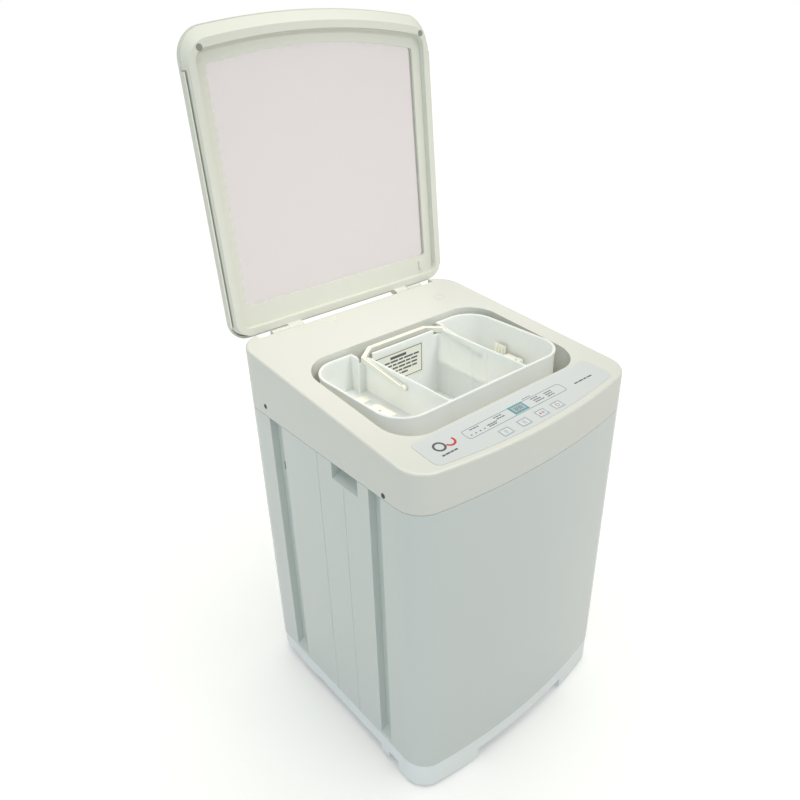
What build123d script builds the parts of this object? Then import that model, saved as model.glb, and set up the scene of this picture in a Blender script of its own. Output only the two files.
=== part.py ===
from build123d import *
import math
import os

os.makedirs("parts", exist_ok=True)

# Compact top load washing machine. Millimetres, +X right, +Y to the back, +Z up.
# Each piece is drawn in the cabinet's frame: X 0 is the middle, Y 0 is midway between the
# cabinet's back and its front corners, Z 0 is the floor. save() moves every piece by
# ORIGIN_Y, so that the finished model's origin is the middle of its footprint.

# Cabinet
WIDTH = 400.0
DEPTH = 382.0                       # back to front corners, without the bow
BOW = 22.0                          # how far the front bulges past its corners
FRONT_RADIUS = 39.0
BACK_RADIUS = 41.0
BASE_SEAM = 50.0
COVER_SEAM = 502.0
WALL = 2.5
HALF_WIDTH = WIDTH / 2
BACK_Y = DEPTH / 2
FRONT_Y = -DEPTH / 2
ORIGIN_Y = -13.735

# Deck of the top cover, lower at the front
DECK_FRONT = 558.6
DECK_SLOPE = 0.0972
DECK_TILT = math.degrees(math.atan(DECK_SLOPE))
DECK_EDGE = 3.2
COVER_WALL = 3.0
COVER_GAP = 0.8

# Loading mouth in the deck
MOUTH_HALF = 167.5
MOUTH_FRONT = -138.0
MOUTH_BACK = 82.0
MOUTH_RADIUS = 47.0
LEDGE_Z = 515.0
LEDGE_HOLE = 134.0
LEDGE_WIDTH = 6.0

# Lid, drawn flat: x across, y away from the hinge, z towards the wash when shut
LID_HALF = 200.4
LID_LENGTH = 409.0
LID_BOW = 18.0
LID_LEAN = 85.43                    # degrees above level when open
LID_Y = 197.3
LID_Z = 598.0
LID_RIM = 9.0
LID_SPLIT = -2.5
LID_BACK = -11.0
WINDOW_HALF = 168.7
WINDOW_LOW = 38.0
WINDOW_HIGH = 368.3
WINDOW_BOW = 16.9
PANE_FRONT = -3.4
PANE_BACK = -5.8
POCKET_HALF = 184.5
LID_SIDE = 196.0                    # half width of the inner frame beside the shell's edge band
BAND_INNER = 198.0
BAND_TOP = 3.5
BAND_LOW_V = 14.0
BAND_HIGH_V = LID_LENGTH - 62
HINGE_Y = 183.7
HINGE_Z = 591.7
PIN_RADIUS = 2.0
RUNNING_FIT = 0.05
TAB_IN = 90.0
TAB_OUT = 114.0
KNUCKLE_OUT = 143.5

# Drum
DRUM_Y = -20.0
TUB_RADIUS = 164.0
TUB_FLOOR = 150.0
TUB_TOP = 470.0
BASKET_RADIUS = 150.0
BASKET_FLOOR = 165.0
BASKET_TOP = 455.0
RING_INNER = 126.0

# Drive
SHAFT_RADIUS = 6.0
SPIN_SHAFT_RADIUS = 10.0
PULLEY_RADIUS = 60.0
MOTOR_PULLEY_RADIUS = 13.0
MOTOR_X = 67.0
MOTOR_Y = DRUM_Y + 67.0
BELT_LOW = 64.0
BELT_HIGH = 72.0

# Transit basket
CRATE_HALF = 156.0
CRATE_FRONT = -115.5
CRATE_BACK = 77.5
CRATE_RADIUS = 42.0
CRATE_TOP = 576.5
CRATE_WALL = 2.6
CRATE_FLOOR = 523.0
CRATE_DEEP = 470.0
DIVIDER = 72.0
NOTCH_HALF = 81.5
NOTCH_Y = 60.0
BAIL_Y = -29.0
BAIL_Z = 562.0
BAIL_X = 75.5
BAIL_BEND = 87.0
BAIL_REACH = 102.5
BAIL_GRIP = 52.0
BAIL_SLOPE = 8.5
BAIL_BOSS = 4.8
BAIL_LOW = -5.0
BAIL_HIGH = 2.5
BAIL_SADDLE = 7.8
SADDLE_INNER = 58.0
DIVIDER_RIBS = (-42.0, -12.0, 34.0)

# Controls
KEY_SIZE = (17.0, 13.0)
KEY_Y = -191.0
KEYS = {"program_key": -52.5, "water_level_key": -20.0, "start_pause_key": 12.7, "power_key": 42.5}
OVERLAY = 0.6
OVERLAY_OUTLINE = (163.0, -141.0, -189.3, 14.7, 6.0, 10.0)
DISPLAY = (-3.5, -166.3, 26.0, 16.5)


def save(name, *pieces):
    """Write the solids of one node to its own STEP file."""
    solids = []
    for piece in pieces:
        solids += piece.solids()
    moved = [solid.moved(Location((0, ORIGIN_Y, 0))) for solid in solids]
    shape = moved[0] if len(moved) == 1 else Compound(children=moved)
    shape.label = name
    export_step(shape, f"parts/{name}.step")


def block(x0, x1, y0, y1, z0, z1):
    return Pos((x0 + x1) / 2, (y0 + y1) / 2, (z0 + z1) / 2) * Box(x1 - x0, y1 - y0, z1 - z0)


def rod(x, y, z0, z1, radius):
    return Pos(x, y, (z0 + z1) / 2) * Cylinder(radius, z1 - z0)


def rod_x(x0, x1, y, z, radius):
    return Pos((x0 + x1) / 2, y, z) * Rot(0, 90, 0) * Cylinder(radius, x1 - x0)


def rod_y(x, y0, y1, z, radius):
    return Pos(x, (y0 + y1) / 2, z) * Rot(90, 0, 0) * Cylinder(radius, y1 - y0)


def slab(face, z0, z1):
    return extrude(Pos(0, 0, z0) * face, z1 - z0, dir=(0, 0, 1))


def mirrored(piece):
    return mirror(piece, Plane.YZ)


def both(piece):
    return [piece, mirrored(piece)]


def bowed_face(half, back, front, bow, back_radius, front_radius):
    """A rectangle whose front edge bulges, with rounded corners."""
    with BuildSketch() as sketch:
        with BuildLine():
            Line((-half, back), (half, back))
            Line((half, back), (half, front))
            ThreePointArc((half, front), (0, front - bow), (-half, front))
            Line((-half, front), (-half, back))
        make_face()
        corners = sketch.vertices()
        fillet([v for v in corners if v.Y > (front + back) / 2], back_radius)
        fillet([v for v in sketch.vertices() if v.Y < front + 1 and abs(v.X) > half - 1], front_radius)
    return sketch.sketch


def body_face(inset=0.0):
    face = bowed_face(HALF_WIDTH, BACK_Y, FRONT_Y, BOW, BACK_RADIUS, FRONT_RADIUS)
    return offset(face, -inset) if inset else face


def round_face(half, front, back, radius, grow=0.0):
    """A rounded rectangle, centred across, grown outwards on every side."""
    face = RectangleRounded(2 * (half + grow), back - front + 2 * grow, radius + grow)
    return Pos(0, (front + back) / 2) * face


def deck_z(y):
    return DECK_FRONT + (y - FRONT_Y) * DECK_SLOPE


def on_deck(x, y, height=0.0):
    """A place on the deck, with its z square to the deck."""
    return Pos(x, y, deck_z(y)) * Rot(DECK_TILT, 0, 0) * Pos(0, 0, height)


def under_deck(height=0.0):
    return on_deck(0, 0, height) * Pos(0, 0, -200) * Box(600, 600, 400)


def deck_layer(face, low, high):
    tall = slab(face, COVER_SEAM, COVER_SEAM + 200)
    return (tall & under_deck(high)) - under_deck(low)


# Cabinet and base

GROOVE_DEPTH = 11.0
GROOVES = ((86.0, 117.0, 55.0), (-130.0, -107.0, 55.0))
GRIP = (-85.0, -31.0, 476.0)
GRIP_DEPTH = 20.0
GRIP_RISE = 12.0
LINE_HALF = 1.8
LINE_DEPTH = 1.3
VENT_SLOT = (106.5, 109.5, 415.0, 428.0)
SEAM_LINES = ((2.0, 51.0, COVER_SEAM), (-54.0, 54.0, 474.0))
REAR_OPENING = (-130.0, 130.0, 112.0, 430.0)


def side_pocket(y0, y1, low, depth, rise, grow=0.0):
    """A pocket in the left side, open outwards and upwards, with a sloping foot."""
    outer = -HALF_WIDTH - 2
    inner = -HALF_WIDTH + depth + grow
    foot = low - grow
    with BuildSketch(Plane.XZ.offset(-y1 - grow)) as sketch:
        Polygon((outer, foot), (inner, foot + rise), (inner, COVER_SEAM + 2), (outer, COVER_SEAM + 2), align=None)
    return extrude(sketch.sketch, y1 - y0 + 2 * grow)


def side_line(y, low, high):
    """A shallow V-shaped groove up the left side."""
    outer = -HALF_WIDTH - 0.5
    with BuildSketch() as sketch:
        Polygon((outer, y - LINE_HALF), (outer, y + LINE_HALF), (-HALF_WIDTH + LINE_DEPTH, y), align=None)
    return slab(sketch.sketch, low, high)


def cabinet():
    shell = slab(body_face(), BASE_SEAM, COVER_SEAM)
    core = slab(body_face(WALL), BASE_SEAM - 1, COVER_SEAM + 1)
    pockets = [side_pocket(y0, y1, low, GROOVE_DEPTH, GROOVE_DEPTH) for y0, y1, low in GROOVES]
    backing = [side_pocket(y0, y1, low, GROOVE_DEPTH, GROOVE_DEPTH, WALL) for y0, y1, low in GROOVES]
    pockets.append(side_pocket(*GRIP, GRIP_DEPTH, GRIP_RISE))
    backing.append(side_pocket(*GRIP, GRIP_DEPTH, GRIP_RISE, WALL))
    for pocket, back in zip(pockets, backing):
        for piece in both(back):
            core -= piece
    shell -= core
    for pocket in pockets:
        for piece in both(pocket):
            shell -= piece
    for y, low, high in SEAM_LINES:
        for piece in both(side_line(y, low, high)):
            shell -= piece
    y0, y1, z0, z1 = VENT_SLOT
    for piece in both(block(-HALF_WIDTH - 1, -HALF_WIDTH + GROOVE_DEPTH + WALL + 1, y0, y1, z0, z1)):
        shell -= piece
    x0, x1, z0, z1 = REAR_OPENING
    shell -= block(x0, x1, BACK_Y - 10, BACK_Y + 10, z0, z1)
    shell -= rod_y(DRAIN_X, BACK_Y - 10, BACK_Y + 10, DRAIN_Z, DRAIN_COLLAR)
    shell -= rod_y(GLAND_X, BACK_Y - 10, BACK_Y + 10, GLAND_Z, GLAND_RADIUS)
    for x, z in rear_screw_places():
        shell -= rod_y(x, BACK_Y - 10, BACK_Y + 10, z, REAR_SCREW_RADIUS)
    return shell


REAR_SCREW_RADIUS = 2.0
REAR_PLATE = (-145.0, 145.0, 97.0, 445.0)


def rear_screw_places():
    x0, x1, z0, z1 = REAR_PLATE
    return [(x, z) for x in (x0 + 8, 0, x1 - 8) for z in (z0 + 8, z1 - 8)]


def rear_cover():
    x0, x1, z0, z1 = REAR_PLATE
    plate = block(x0, x1, BACK_Y, BACK_Y + 2, z0, z1)
    plate = fillet(plate.edges().filter_by(Axis.Y), 8)
    panel = block(x0 + 20, x1 - 20, BACK_Y + 2, BACK_Y + 5, z0 + 20, z1 - 20)
    panel = fillet(panel.edges().filter_by(Axis.Y), 8)
    panel = chamfer(panel.faces().sort_by(Axis.Y)[-1].edges(), 2)
    plate += panel
    for row in range(6):
        z = z0 + 60 + 12 * row
        plate -= block(-60, 60, BACK_Y - 1, BACK_Y + 6, z, z + 5)
    for x, z in rear_screw_places():
        plate -= rod_y(x, BACK_Y - 1, BACK_Y + 3, z, REAR_SCREW_RADIUS)
    return plate


def rear_screws():
    screws = []
    for x, z in rear_screw_places():
        shank = rod_y(x, BACK_Y - 9, BACK_Y + 2, z, REAR_SCREW_RADIUS)
        head = rod_y(x, BACK_Y + 2, BACK_Y + 4, z, 4)
        screws.append(shank + head - block(x - 3, x + 3, BACK_Y + 3, BACK_Y + 5, z - 0.5, z + 0.5))
    return screws


RIM_LOW = 24.0
TRAY_FLOOR = 34.0
FRONT_FOOT = (-95.0, -143.0)        # inner x and back y of the front feet
PAD_HEIGHT = 5.0
REAR_FEET = (-150.0, 140.0)
FRONT_PADS = (-158.0, -166.0)
PAD_RADIUS = 16.0


def base_tray():
    rim = slab(body_face(1), RIM_LOW, BASE_SEAM) - slab(body_face(4), TRAY_FLOOR, BASE_SEAM + 1)
    rim -= slab(body_face(4), RIM_LOW - 1, TRAY_FLOOR - 3)
    x1, y1 = FRONT_FOOT
    corner = block(-210, x1, -220, y1, PAD_HEIGHT, TRAY_FLOOR - 1)
    inner = block(-210, x1 - 3, -220, y1 - 3, PAD_HEIGHT + 3, BASE_SEAM)
    foot = (slab(body_face(1), PAD_HEIGHT, TRAY_FLOOR - 1) & corner)
    foot -= slab(body_face(4), PAD_HEIGHT + 3, BASE_SEAM) & inner
    hole = slab(body_face(4), TRAY_FLOOR - 4, BASE_SEAM) & inner
    for piece in both(hole):
        rim -= piece
    for piece in both(foot):
        rim += piece
    x, y = REAR_FEET
    for piece in both(rod(x, y, PAD_HEIGHT, TRAY_FLOOR, 20) - rod(x, y, PAD_HEIGHT + 3, TRAY_FLOOR + 1, 17)):
        rim += piece
    for y0, y1, low in ((-122, -103, 12), (62, 118, 20)):
        bump = slab(body_face(1), low, RIM_LOW + 1) & block(-210, -150, y0, y1, low, RIM_LOW + 1)
        bump -= slab(body_face(4), low - 1, RIM_LOW + 2)
        for piece in both(bump):
            rim += piece
    return rim - block(-40, 40, -60, 20, RIM_LOW, TRAY_FLOOR + 1)


def rubber_feet():
    pads = []
    for x, y in (FRONT_PADS, REAR_FEET):
        pad = rod(x, y, 0, PAD_HEIGHT, PAD_RADIUS)
        pad = chamfer(pad.faces().sort_by(Axis.Z)[0].edges(), 1.5)
        pads += both(pad)
    return pads


# Top cover

INLET_X = -110.0
INLET_Z = 535.0
INLET_THREAD = 13.2
COVER_SCREWS = ((124.0, 518.0), (-136.0, 508.0))
SLOT_FRONT = 177.5
SLOT_HALF = 167.0
SLOT_DEPTH = 9.0
NOZZLE = (-35.0, 35.0, 547.0, 557.0)


def hinge_slot(grow=0.0):
    slot = block(-SLOT_HALF - grow, SLOT_HALF + grow, SLOT_FRONT - grow, BACK_Y + 20, COVER_SEAM, 700)
    return slot - under_deck(-SLOT_DEPTH - grow)


def top_cover():
    cover = slab(body_face(), COVER_SEAM, COVER_SEAM + 120) & under_deck()
    middle = on_deck(0, 0).position
    normal = Vector(0, -math.sin(math.radians(DECK_TILT)), math.cos(math.radians(DECK_TILT)))
    edges = [e for e in cover.edges() if all(abs((e @ t - middle).dot(normal)) < 0.01 for t in (0, 0.5, 1))]
    cover = fillet(edges, DECK_EDGE)
    core = slab(body_face(COVER_WALL), COVER_SEAM - 1, COVER_SEAM + 120) & under_deck(-COVER_WALL)
    core -= hinge_slot(WALL)
    collar = slab(round_face(MOUTH_HALF, MOUTH_FRONT, MOUTH_BACK, MOUTH_RADIUS, WALL), LEDGE_Z - WALL, 700)
    core -= collar
    cover -= core
    cover -= slab(round_face(MOUTH_HALF, MOUTH_FRONT, MOUTH_BACK, MOUTH_RADIUS), LEDGE_Z, 700)
    hole = slab(round_face(MOUTH_HALF, MOUTH_FRONT, MOUTH_BACK, MOUTH_RADIUS, -LEDGE_WIDTH), COVER_SEAM, LEDGE_Z + 1)
    cover -= hole & rod(0, DRUM_Y, COVER_SEAM, LEDGE_Z + 1, LEDGE_HOLE)
    cover -= hinge_slot()
    for piece in both(knuckle()):
        cover += piece
    y0, y1, low = GRIP
    roof = block(-HALF_WIDTH + COVER_WALL - 1, -HALF_WIDTH + GRIP_DEPTH + WALL, y0 - 3, y1 + 3, COVER_SEAM, COVER_SEAM + 2.5)
    for piece in both(roof):
        cover += piece
    for y, z in COVER_SCREWS:
        for piece in both(rod_x(-HALF_WIDTH - 1, -HALF_WIDTH + 8, y, z, 1.8)):
            cover -= piece
        for piece in both(rod_x(-HALF_WIDTH - 1, -HALF_WIDTH + 1.2, y, z, 3.6)):
            cover -= piece
    cover -= rod_y(INLET_X, BACK_Y - 10, BACK_Y + 5, INLET_Z, INLET_THREAD + 1)
    for x in KEYS.values():
        cover -= on_deck(x, KEY_Y) * Box(KEY_SIZE[0] + 0.6, KEY_SIZE[1] + 0.6, 12)
    x, y, w, d = DISPLAY
    cover -= on_deck(x, y) * Box(w, d, 12)
    x0, x1, z0, z1 = NOZZLE
    cover -= block(x0, x1, MOUTH_BACK - 5, MOUTH_BACK + 5, z0, z1)
    cover -= lines_on_deck()
    return cover - (slab(body_face(-1), COVER_SEAM - 1, COVER_SEAM + COVER_GAP) - slab(body_face(COVER_GAP), 500, 504))


def knuckle():
    """One of the cover's two hinge blocks, on the left."""
    post = block(-KNUCKLE_OUT, -TAB_OUT - 0.4, HINGE_Y - 4.8, HINGE_Y + 4.8, deck_z(HINGE_Y) - SLOT_DEPTH - 1, HINGE_Z)
    barrel = rod_x(-KNUCKLE_OUT, -TAB_OUT - 0.4, HINGE_Y, HINGE_Z, 4.8)
    return post + barrel - rod_x(-KNUCKLE_OUT + 2, -TAB_OUT, HINGE_Y, HINGE_Z, PIN_RADIUS)


def lines_on_deck():
    """A faint moulded ring behind the mouth, on the right."""
    ring = on_deck(134, 127) * Cylinder(9, 0.6)
    return ring - on_deck(134, 127) * Cylinder(8.2, 2)


def hinge_pins():
    return both(rod_x(-KNUCKLE_OUT + 2, -TAB_IN - 2, HINGE_Y, HINGE_Z, PIN_RADIUS))


def cover_screws():
    screws = []
    for y, z in COVER_SCREWS:
        head = rod_x(-HALF_WIDTH - 0.4, -HALF_WIDTH + 1.2, y, z, 3.4)
        shank = rod_x(-HALF_WIDTH + 1.2, -HALF_WIDTH + 7, y, z, 1.8)
        screw = head + shank - block(-HALF_WIDTH - 1, -HALF_WIDTH + 0.3, y - 2.4, y + 2.4, z - 0.4, z + 0.4)
        screws += both(screw)
    return screws


# Controls

def overlay_face():
    return bowed_face(*OVERLAY_OUTLINE)


def control_overlay():
    film = deck_layer(overlay_face(), 0, OVERLAY)
    for x in KEYS.values():
        film -= on_deck(x, KEY_Y) * Box(KEY_SIZE[0] + 0.6, KEY_SIZE[1] + 0.6, 12)
    x, y, w, d = DISPLAY
    return film - on_deck(x, y) * Box(w, d, 12)


def key(x):
    cap = on_deck(x, KEY_Y, -1.85) * Box(*KEY_SIZE, 5)
    return fillet(cap.edges().filter_by(lambda e: abs((e % 0.5).Z) > 0.9), 1.2)


def display_window():
    x, y, w, d = DISPLAY
    return on_deck(x, y, -0.7) * Box(w, d, 3)


def control_board():
    return on_deck(0, -173, -20) * Box(210, 50, 1.6)


def board_components():
    parts = [on_deck(DISPLAY[0], DISPLAY[1], -11.2) * Box(30, 16, 16)]
    parts += [on_deck(x, KEY_Y, -14.2) * Box(6, 6, 10) for x in KEYS.values()]
    parts += [on_deck(x, -168, -14.2) * Box(16, 20, 10) for x in (-85, 75)]
    parts += [on_deck(95, -182, -12.2) * Cylinder(6, 14)]
    return parts


# Lid

def lid_place():
    lean = math.radians(LID_LEAN)
    return Plane(origin=(0, LID_Y, LID_Z), x_dir=(1, 0, 0), z_dir=(0, -math.sin(lean), math.cos(lean))).location


def lid_face(half, low, high, bow, low_radius, high_radius):
    face = bowed_face(half, -low, -(high - bow), bow, low_radius, high_radius)
    return mirror(face, Plane.XZ)


def window_face(grow=0.0):
    face = lid_face(WINDOW_HALF + grow, WINDOW_LOW - grow, WINDOW_HIGH + grow, WINDOW_BOW, 4 + grow, 4 + grow)
    return face


def lid_shell():
    outer = lid_face(LID_HALF, -8, LID_LENGTH, LID_BOW, 28, 40)
    shell = slab(outer, LID_BACK, LID_SPLIT)
    shell = fillet(shell.faces().sort_by(Axis.Z)[0].edges(), 5)
    hollow = slab(lid_face(LID_HALF - 3, -5, LID_LENGTH - 3, LID_BOW, 25, 37), LID_BACK + 3.4, LID_SPLIT + 1)
    hollow -= slab(window_face(5), LID_BACK, LID_SPLIT + 2)
    shell -= hollow
    shell -= slab(window_face(2.4), LID_BACK - 1, LID_SPLIT + 1)
    for piece in both(block(-LID_HALF, -BAND_INNER, BAND_LOW_V + 1, BAND_HIGH_V - 1, LID_SPLIT - 1, BAND_TOP)):
        shell += piece
    return lid_place() * shell


def lid_frame():
    far = LID_LENGTH - 1.4
    outer = lid_face(LID_HALF - 1.4, -2, far, LID_BOW, 26, 39)
    frame = slab(outer, LID_SPLIT, 0)
    top = lid_face(LID_HALF - 6.5, -2, far - 13, LID_BOW, 24, 34)
    frame += loft([outer, Pos(0, 0, LID_RIM) * top], ruled=True)
    frame -= slab(lid_face(POCKET_HALF, 8, 385, 17, 14, 18), 0, LID_RIM + 1)
    for piece in both(block(-LID_HALF, -LID_SIDE, BAND_LOW_V, BAND_HIGH_V, LID_SPLIT - 1, LID_RIM + 1)):
        frame -= piece
    lip = slab(window_face(2.2), PANE_FRONT, LID_SPLIT + 0.5)
    frame += lip
    frame -= slab(window_face(), PANE_BACK, LID_RIM + 1)
    for x in BUMPER_X:
        frame -= rod(x, BUMPER_V, LID_RIM - 3, LID_RIM + 1, BUMPER_RADIUS)
    frame = lid_place() * frame
    for piece in both(hinge_tab()):
        frame += piece
    return frame - rod_x(-KNUCKLE_OUT, KNUCKLE_OUT, HINGE_Y, HINGE_Z, PIN_RADIUS + RUNNING_FIT)


BUMPER_X = (-176.5, 180.0)
BUMPER_V = 371.0
BUMPER_RADIUS = 4.2


def hinge_tab():
    """The lid's left hinge tab, reaching down from the rim to the pin."""
    lean = math.radians(LID_LEAN)
    reach = ((-3.6, -1), (3.6, -2), (6.2, 4.2), (12, 9), (12, 14), (1, 15), (-3.6, 6))
    points = []
    for along, back in reach:
        y = HINGE_Y + along * math.cos(lean) + back * math.sin(lean)
        z = HINGE_Z + along * math.sin(lean) - back * math.cos(lean)
        points.append((y, z))
    with BuildSketch(Plane.YZ.offset(-TAB_OUT)) as sketch:
        Polygon(*points, align=None)
    web = extrude(sketch.sketch, TAB_OUT - TAB_IN)
    return web + rod_x(-TAB_OUT, -TAB_IN, HINGE_Y, HINGE_Z, 4.5)


def lid_window():
    return lid_place() * slab(window_face(2.2), PANE_BACK, PANE_FRONT)


def lid_bumpers():
    return [lid_place() * rod(x, BUMPER_V, LID_RIM - 3, LID_RIM + 0.3, BUMPER_RADIUS) for x in BUMPER_X]


MAGNET = (158.0, 24.0)


def lid_magnet():
    x, v = MAGNET
    return lid_place() * fillet((Pos(x, v, 1.5) * Box(8, 14, 3)).edges().filter_by(Axis.Z), 2)


def lid_switch():
    x, v = MAGNET
    return on_deck(x - 2, HINGE_Y - v - 10, -COVER_WALL - 4) * Box(12, 24, 8)


# Transit basket

def crate_face(inset=0.0):
    face = round_face(CRATE_HALF, CRATE_FRONT, CRATE_BACK, CRATE_RADIUS, -inset)
    return face - Pos(0, NOTCH_Y - inset + 50) * Rectangle(2 * (NOTCH_HALF + inset), 100)


def transit_basket():
    crate = slab(crate_face(), CRATE_FLOOR - CRATE_WALL, CRATE_TOP)
    rim = slab(crate_face(-1), CRATE_TOP - 3, CRATE_TOP)
    crate += rim
    deep = block(-DIVIDER, DIVIDER, CRATE_FRONT, NOTCH_Y, CRATE_DEEP - CRATE_WALL, CRATE_TOP)
    deep = fillet(deep.edges().filter_by(Axis.Z), 8)
    crate += deep
    well = block(-DIVIDER + CRATE_WALL, DIVIDER - CRATE_WALL, CRATE_FRONT + CRATE_WALL, NOTCH_Y - CRATE_WALL,
                 CRATE_DEEP, CRATE_TOP + 1)
    crate -= fillet(well.edges().filter_by(Axis.Z), 5.4)
    trays = slab(crate_face(CRATE_WALL), CRATE_FLOOR, CRATE_TOP + 1)
    crate -= trays - block(-DIVIDER, DIVIDER, -200, 200, 0, 700)
    for piece in both(block(-NOTCH_HALF - 1, -SADDLE_INNER, NOTCH_Y - 8, NOTCH_Y + 3, CRATE_TOP - BAIL_SADDLE, CRATE_TOP + 1)):
        crate -= piece
    inner = DIVIDER - CRATE_WALL
    for y in DIVIDER_RIBS:
        for piece in both(block(inner - 0.8, inner, y - 1.2, y + 1.2, CRATE_DEEP + 4, CRATE_TOP - 8)):
            crate += piece
    crate -= rod_x(-DIVIDER - 2, DIVIDER + 2, BAIL_Y, BAIL_Z, 3 + RUNNING_FIT)
    for x in (-140, 140):
        for y in (-60, 20):
            crate += block(x - 8, x + 8, y - 1.5, y + 1.5, LEDGE_Z, CRATE_FLOOR - 1)
    return crate


def bail_band(width):
    """The flat outline of the handle's band, with its arms cut square at the pivots."""
    corners = [(-BAIL_X, -40), (-BAIL_X, BAIL_BEND), (-BAIL_GRIP, BAIL_REACH)]
    corners += [(-x, y) for x, y in reversed(corners)]
    path = Polygon(*corners, align=None)
    band = offset(path, width / 2, kind=Kind.INTERSECTION) - offset(path, -width / 2, kind=Kind.INTERSECTION)
    return band & (Pos(0, 60) * Rectangle(200, 120))


def transit_handle():
    band = slab(bail_band(6), BAIL_LOW, BAIL_HIGH) - slab(bail_band(2.2), BAIL_HIGH - 1.5, BAIL_HIGH + 1)
    band = Pos(0, BAIL_Y, BAIL_Z) * Rot(BAIL_SLOPE, 0, 0) * band
    for side in (-1, 1):
        low, high = sorted((side * (BAIL_X - 3), side * (BAIL_X + 3)))
        band += rod_x(low, high, BAIL_Y, BAIL_Z, BAIL_BOSS)
        low, high = sorted((side * (DIVIDER - CRATE_WALL + 0.3), side * BAIL_X))
        band += rod_x(low, high, BAIL_Y, BAIL_Z, 3)
    return band


def basket_label():
    return block(-60, 36, NOTCH_Y - CRATE_WALL - 0.3, NOTCH_Y - CRATE_WALL, 517, 567)


def basket_clips():
    tab = block(146, 149, -8, 13, CRATE_FLOOR, CRATE_FLOOR + 20)
    for y in (-4, 2, 8):
        tab += block(143.5, 146, y - 1, y + 1, CRATE_FLOOR, CRATE_FLOOR + 18)
    seat = block(132, 150, -42, -12, CRATE_FLOOR, CRATE_FLOOR + 10) - rod(140, -36, CRATE_FLOOR + 2, CRATE_FLOOR + 12, 2.5)
    low = block(-112, -90, -30, 8, CRATE_FLOOR, CRATE_FLOOR + 6) - rod(-101, -9, CRATE_FLOOR + 1, CRATE_FLOOR + 8, 2)
    strip = block(-112, -88, 28, 44, CRATE_FLOOR, CRATE_FLOOR + 3)
    return [tab, seat, low, strip]


# Tub and drum

RODS = ((-160.0, 128.0), (-160.0, -160.0))
CUP_LOW = 205.0
CUP_HIGH = 245.0
CUP_RADIUS = 15.0


def outer_tub():
    tub = rod(0, DRUM_Y, TUB_FLOOR, TUB_TOP, TUB_RADIUS) - rod(0, DRUM_Y, TUB_FLOOR + 4, TUB_TOP + 1, TUB_RADIUS - 3)
    tub -= rod(0, DRUM_Y, TUB_FLOOR - 1, TUB_FLOOR + 5, 26)
    for x, y in RODS:
        angle = math.degrees(math.atan2(y - DRUM_Y, x))
        reach = math.hypot(x, y - DRUM_Y)
        arm = Pos(0, DRUM_Y, 0) * Rot(0, 0, angle) * block(TUB_RADIUS - 2, reach, -9, 9, CUP_LOW, CUP_HIGH)
        arm -= rod(x, y, CUP_LOW - 1, CUP_HIGH + 1, CUP_RADIUS)
        for piece in both(arm):
            tub += piece
    tub -= rod(*VALVE_PLACE, TUB_FLOOR - 1, TUB_FLOOR + 5, 14)
    return tub


def tub_cover():
    top = rod(0, DRUM_Y, TUB_TOP, TUB_TOP + 3, TUB_RADIUS + 2) - rod(0, DRUM_Y, TUB_TOP - 1, TUB_TOP + 4, 133)
    skirt = rod(0, DRUM_Y, TUB_TOP - 8, TUB_TOP + 1, TUB_RADIUS + 2) - rod(0, DRUM_Y, TUB_TOP - 9, TUB_TOP + 2, TUB_RADIUS)
    lip = rod(0, DRUM_Y, TUB_TOP, TUB_TOP + 14, 136) - rod(0, DRUM_Y, TUB_TOP - 1, TUB_TOP + 15, 133)
    return top + skirt + lip


def spin_basket():
    drum = rod(0, DRUM_Y, BASKET_FLOOR, BASKET_TOP, BASKET_RADIUS)
    drum -= rod(0, DRUM_Y, BASKET_FLOOR + 2, BASKET_TOP + 1, BASKET_RADIUS - 1.5)
    drum -= rod(0, DRUM_Y, BASKET_FLOOR - 1, BASKET_FLOOR + 3, 14)
    for column in range(12):
        for row in range(5):
            place = Pos(0, DRUM_Y, 215 + 42 * row) * Rot(0, 0, 30 * column + 15)
            drum -= place * Pos(BASKET_RADIUS, 0, 0) * Rot(0, 90, 0) * Cylinder(2.5, 10)
    return drum


def balance_ring():
    ring = rod(0, DRUM_Y, 428, 458, BASKET_RADIUS - 1.5) - rod(0, DRUM_Y, 427, 459, RING_INNER)
    ring = fillet(ring.edges().filter_by(GeomType.CIRCLE).filter_by(lambda e: abs(e.radius - RING_INNER) < 0.1), 6)
    return ring + (rod(0, DRUM_Y, BASKET_TOP, 458, BASKET_RADIUS + 1) - rod(0, DRUM_Y, 450, 459, BASKET_RADIUS - 3))


def lint_filter():
    case = Pos(0, DRUM_Y, 0) * block(-28, 28, 138, 144, 260, 350)
    case -= Pos(0, DRUM_Y, 0) * block(-22, 22, 137, 141, 268, 342)
    return fillet(case.edges().filter_by(Axis.Y), 3)


def drum_hub():
    flange = rod(0, DRUM_Y, 160, BASKET_FLOOR, 40)
    neck = rod(0, DRUM_Y, 92, BASKET_FLOOR + 3, SPIN_SHAFT_RADIUS)
    return flange + neck - rod(0, DRUM_Y, 90, BASKET_FLOOR + 4, SHAFT_RADIUS + RUNNING_FIT)


def pulsator():
    disc = rod(0, DRUM_Y, 171, 177, 118)
    dome = Pos(0, DRUM_Y, 176) * Cone(60, 22, 14, align=(Align.CENTER, Align.CENTER, Align.MIN))
    shape = disc + dome
    for index in range(6):
        blade = Pos(0, DRUM_Y, 0) * Rot(0, 0, 60 * index) * block(20, 112, -4, 4, 175, 187)
        shape += blade
    shape = shape & rod(0, DRUM_Y, 171, 190, 118)
    return shape - rod(0, DRUM_Y, 170, 183, SHAFT_RADIUS) - rod(0, DRUM_Y, 183, 191, 8)


def pulsator_screw():
    screw = rod(0, DRUM_Y, 183, 187, 8)
    return screw - block(-1, 1, DRUM_Y - 6, DRUM_Y + 6, 186, 188)


def pulsator_shaft():
    return rod(0, DRUM_Y, 58, 183, SHAFT_RADIUS)


# Drive and suspension

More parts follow.
